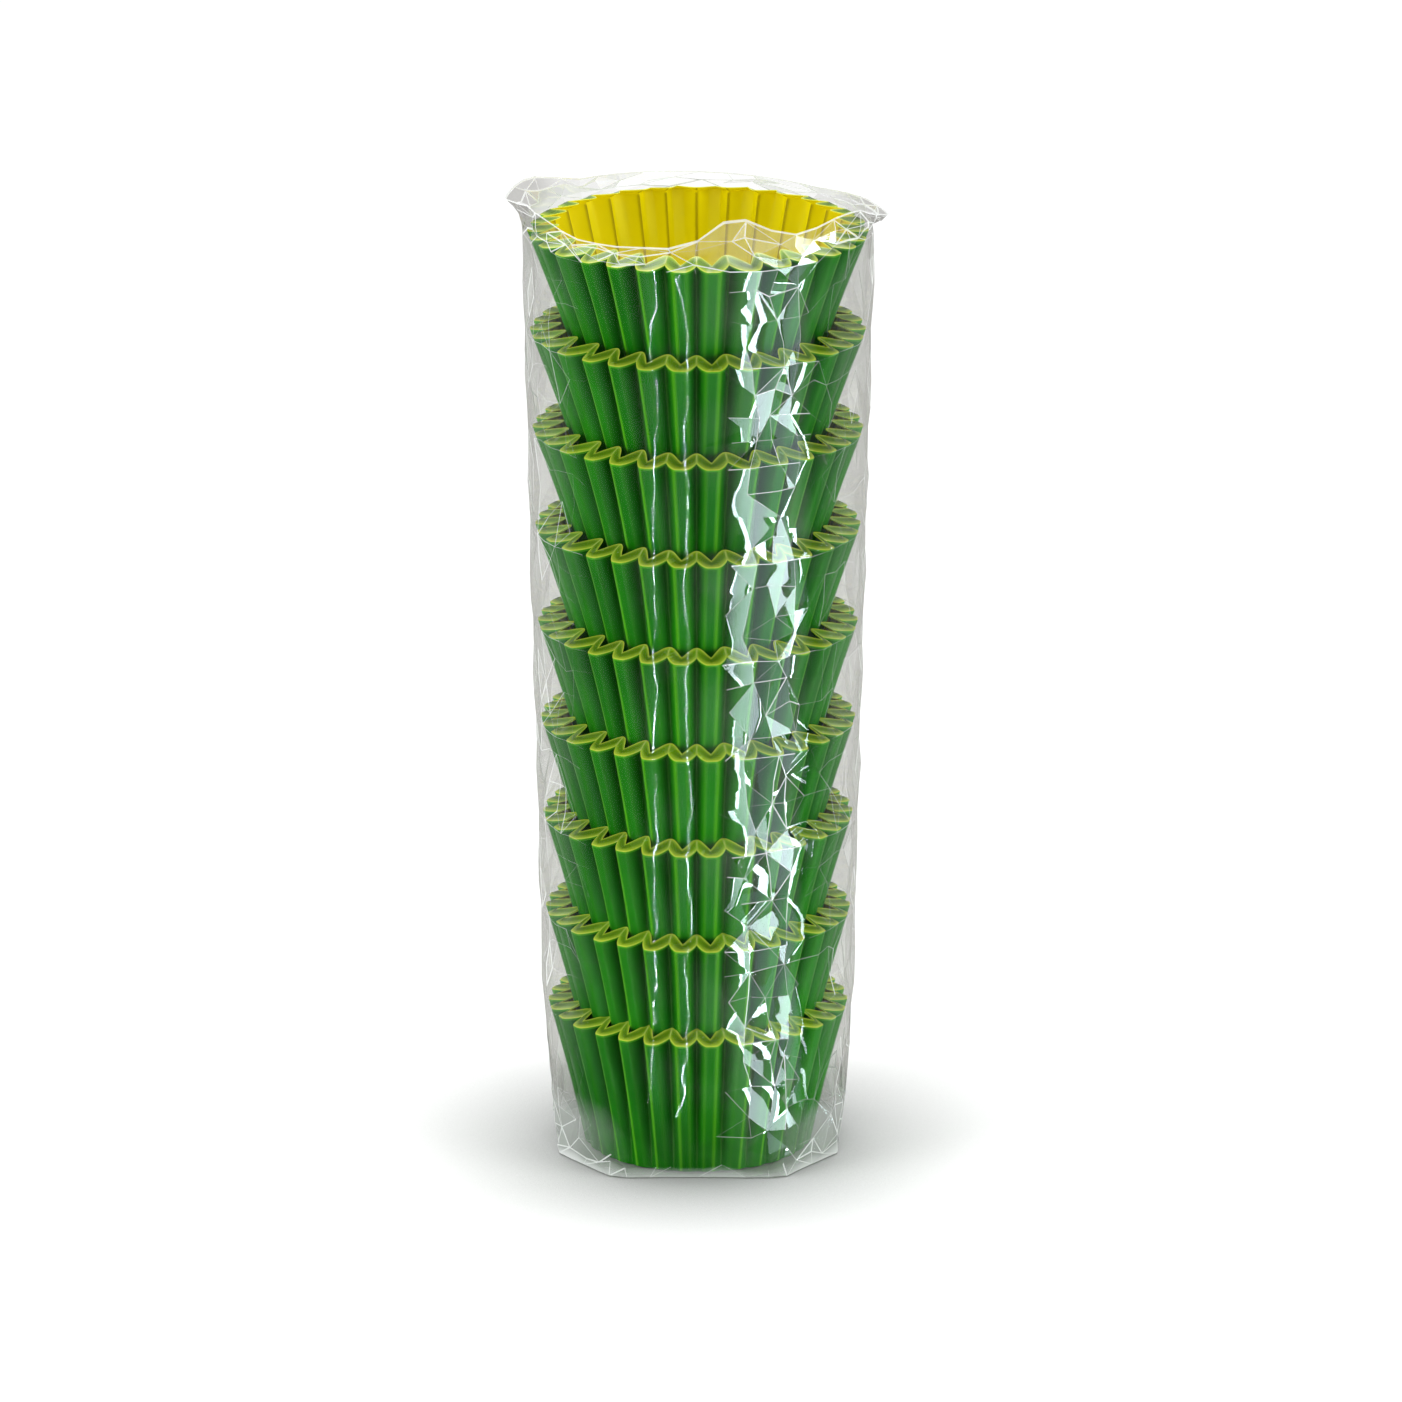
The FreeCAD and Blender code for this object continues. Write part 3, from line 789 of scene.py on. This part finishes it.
class BAKINGCUPS_OT_stage(bpy.types.Operator):
    """Set up the floor, the reflector card, the soft lights and the camera"""
    bl_idname = "baking_cups.stage"
    bl_label = "Stage"

    # Strips of the card: where each starts and ends, in degrees from the front to the right,
    # and its share of the card's brightness.
    CARD_STRIPS = ((-30.3, -29.5, 15.0), (-7.4, -6.6, 15.0), (28, 29.3, 4.5), (29.3, 38, 1.0),
                   (40, 41.2, 4.0), (43, 57, 0.2), (58, 63, 1.6), (64, 74, 0.3), (75.5, 77, 4.5))
    # The card's distances from the axis, and its height at its far end.
    CARD_REACH = (0.045, 0.75)
    CARD_TOP = 0.55
    FLOOR_REACH = 4.0

    def floor_material(self, colour):
        """Matt white floor that shows its full colour and a paler one to the light it returns.

        An occlusion node darkens its colour near the stack: a painted contact shadow.
        """
        material, tree, output = new_material("floor")
        path = node(tree, "ShaderNodeLightPath")
        seen = node(tree, "ShaderNodeMath", operation="MAXIMUM")
        tree.links.new(path.outputs["Is Camera Ray"], seen.inputs[0])
        tree.links.new(path.outputs["Is Glossy Ray"], seen.inputs[1])
        seen_through = node(tree, "ShaderNodeMath", operation="MAXIMUM")
        tree.links.new(seen.outputs["Value"], seen_through.inputs[0])
        tree.links.new(path.outputs["Is Transmission Ray"], seen_through.inputs[1])
        # Painted contact shadow: the floor's seen colour darkened by ambient occlusion within 4 cm
        # of the stack, to no less than 0.4.
        painted_contact_shadow = node(tree, "ShaderNodeAmbientOcclusion", samples=4,
                       sockets={"Distance": 0.04})
        near = node(tree, "ShaderNodeMath", operation="MAXIMUM")
        tree.links.new(painted_contact_shadow.outputs["AO"], near.inputs[0])
        near.inputs[1].default_value = 0.4
        floor_with_painted_shadow = colour_mix(tree, near.outputs["Value"], (0.0, 0.0, 0.0), colour)
        returned = [c * 0.72 for c in colour]
        shade = colour_mix(tree, seen_through.outputs["Value"], returned, floor_with_painted_shadow)
        matt = node(tree, "ShaderNodeBsdfDiffuse")
        tree.links.new(shade, matt.inputs["Color"])
        tree.links.new(matt.outputs["BSDF"], output.inputs["Surface"])
        return material

    def area_light(self, name, place, aim, size, power):
        """Rectangular soft light at a place, turned to face a point."""
        data = bpy.data.lights.new(name, "AREA")
        data.shape = "RECTANGLE"
        data.size, data.size_y = size
        data.energy = power
        lamp = bpy.data.objects.new(name, data)
        bpy.context.scene.collection.objects.link(lamp)
        lamp.location = place
        direction = lamp.location - type(lamp.location)(aim)
        lamp.rotation_euler = direction.to_track_quat("Z", "Y").to_euler()
        lamp.visible_camera = False
        lamp.visible_glossy = False
        return lamp

    def reflector_card(self, brightness):
        """Bright card in strips on the floor at the right front, turned up at its far end.

        Only glossy surfaces see it: it gives the film its highlights and lights nothing.
        """
        for number, (start, end, share) in enumerate(self.CARD_STRIPS):
            turns = np.radians(np.linspace(start, end, 4))
            near, far = self.CARD_REACH
            rings = [(near, 0.0008), (far, 0.0008), (far + 0.02, self.CARD_TOP)]
            points = np.concatenate([np.stack([r * np.sin(turns), -r * np.cos(turns),
                                               np.full(len(turns), z)], -1) for r, z in rings])
            step = len(turns)
            faces = [[i + j, i + j + 1, i + j + 1 + step, i + j + step]
                     for i in (0, step) for j in range(step - 1)]
            material, tree, output = new_material("card_%d" % number)
            glow = node(tree, "ShaderNodeEmission", sockets={"Color": (0.78, 0.95, 1.0, 1.0),
                                                             "Strength": brightness * share})
            tree.links.new(glow.outputs["Emission"], output.inputs["Surface"])
            card = mesh_object("card_%d" % number, points, faces, (material,))
            card.visible_camera = False
            card.visible_diffuse = False
            card.visible_transmission = False
            card.visible_shadow = False

    def execute(self, context):
        settings = context.scene.baking_cups_stage
        corners = self.FLOOR_REACH * np.array([[-1, -1, 0], [1, -1, 0], [1, 1, 0], [-1, 1, 0]])
        white = self.floor_material(settings.floor)
        floor = mesh_object("floor", corners, [[0, 1, 2, 3]], (white,))
        self.reflector_card(settings.card)
        world = bpy.data.worlds.new("studio")
        world.use_nodes = True
        background = world.node_tree.nodes["Background"]
        background.inputs["Color"].default_value = (1.0, 1.0, 1.0, 1.0)
        background.inputs["Strength"].default_value = settings.world
        context.scene.world = world
        sun = bpy.data.lights.new("overhead", "SUN")
        sun.energy = settings.sun
        sun.angle = math.radians(50)
        lamp = bpy.data.objects.new("overhead", sun)
        context.scene.collection.objects.link(lamp)
        lamp.rotation_euler = (math.radians(-12), 0.0, 0.0)
        aim = (0.0, 0.0, 0.1)
        self.area_light("fill_front", (0.0, -1.2, 0.32), aim, (1.0, 0.4), 0.6)
        self.area_light("fill_right", (0.95, -0.45, 0.3), aim, (0.5, 0.4), 5.5)
        self.area_light("fill_left", (-0.95, -0.45, 0.3), aim, (0.5, 0.4), 7.0)
        data = bpy.data.cameras.new("camera")
        data.lens = settings.lens
        data.sensor_width = 36.0
        data.sensor_fit = "HORIZONTAL"
        data.clip_end = 50.0
        camera = bpy.data.objects.new("camera", data)
        context.scene.collection.objects.link(camera)
        camera.location = (settings.aside, -settings.distance, settings.height)
        camera.rotation_euler = (math.pi / 2 - settings.tilt, 0.0, 0.0)
        context.scene.camera = camera
        context.scene.view_settings.view_transform = "Standard"
        return {"FINISHED"}


class BAKINGCUPS_PT_panel(bpy.types.Panel):
    """Sidebar panel that lists the pieces and the stage"""
    bl_idname = "BAKINGCUPS_PT_panel"
    bl_label = "Baking cups"
    bl_space_type = "VIEW_3D"
    bl_region_type = "UI"
    bl_category = "Baking cups"

    def draw(self, context):
        column = self.layout.column()
        for group, operator in (("baking_cups_liners", "baking_cups.liners"),
                                ("baking_cups_film", "baking_cups.film"),
                                ("baking_cups_stage", "baking_cups.stage")):
            settings = getattr(context.scene, group)
            for label in settings.bl_rna.properties.keys():
                if label not in ("rna_type", "name"):
                    column.prop(settings, label)
            column.operator(operator)
            column.separator()


CLASSES = (LinerSettings, FilmSettings, StageSettings, BAKINGCUPS_OT_liners, BAKINGCUPS_OT_film,
           BAKINGCUPS_OT_stage, BAKINGCUPS_PT_panel)


def register():
    """Register the classes and give the scene its settings."""
    for made in CLASSES:
        bpy.utils.register_class(made)
    bpy.types.Scene.baking_cups_liners = bpy.props.PointerProperty(type=LinerSettings)
    bpy.types.Scene.baking_cups_film = bpy.props.PointerProperty(type=FilmSettings)
    bpy.types.Scene.baking_cups_stage = bpy.props.PointerProperty(type=StageSettings)


def unregister():
    """Take the settings and the classes away again."""
    del bpy.types.Scene.baking_cups_stage
    del bpy.types.Scene.baking_cups_film
    del bpy.types.Scene.baking_cups_liners
    for made in reversed(CLASSES):
        bpy.utils.unregister_class(made)


def main():
    register()
    bpy.ops.baking_cups.liners()
    bpy.ops.baking_cups.film()
    bpy.ops.baking_cups.stage()


if __name__ == "__main__":
    main()
